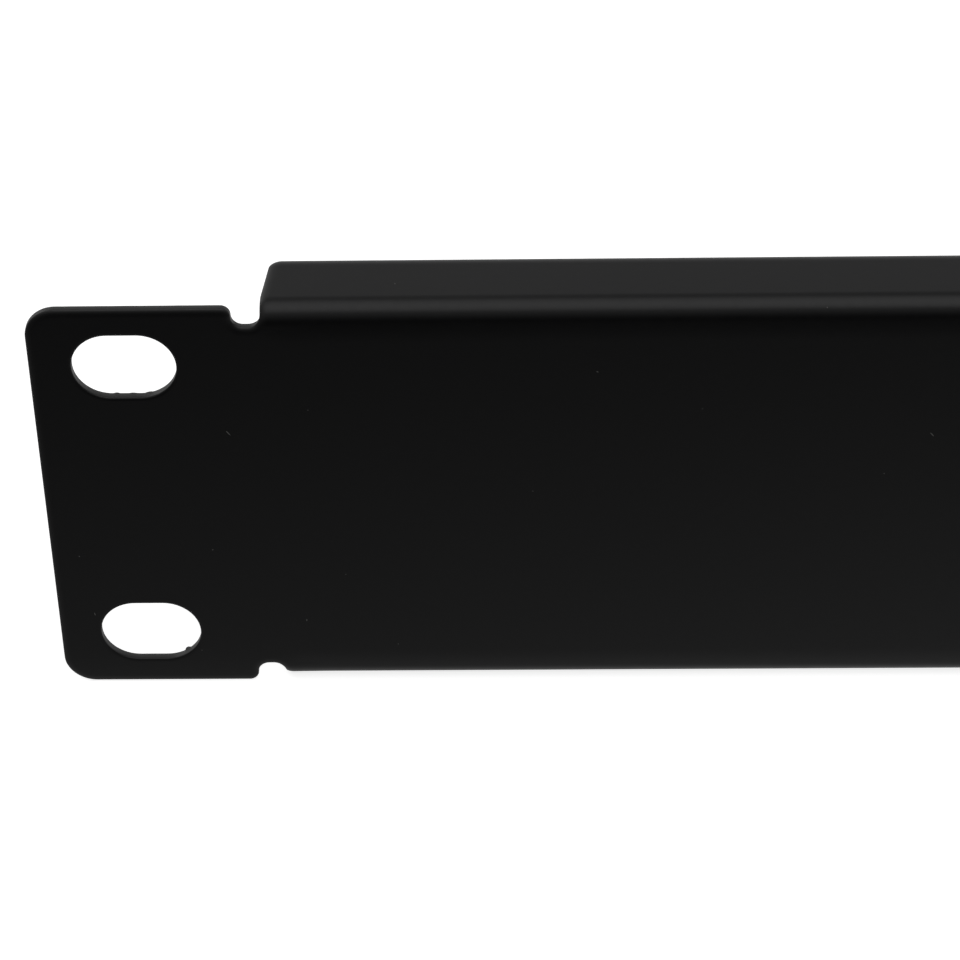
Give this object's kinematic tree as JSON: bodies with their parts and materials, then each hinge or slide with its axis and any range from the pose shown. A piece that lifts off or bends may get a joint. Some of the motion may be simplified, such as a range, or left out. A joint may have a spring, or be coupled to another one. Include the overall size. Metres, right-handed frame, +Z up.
{
  "type": "rack blanking panel",
  "caption": "Black folded steel panel that closes one rack unit, with slotted ears and a short flange folded back along top and bottom.",
  "frame": {"origin": "midway between the four screw slots, on the back of the sheet, the plane that seats on the rack's front rails", "axes": "+X along the panel to the right as seen from the front, +Y from the front face back into the rack, +Z up"},
  "size_m": [0.4826, 0.008, 0.0444],
  "materials": {
    "black_powder_coat": "satin black powder coat with a fine orange-peel texture on folded steel sheet"
  },
  "bodies": {
    "root": {"blanking_panel": "black_powder_coat"}
  },
  "joints": []
}
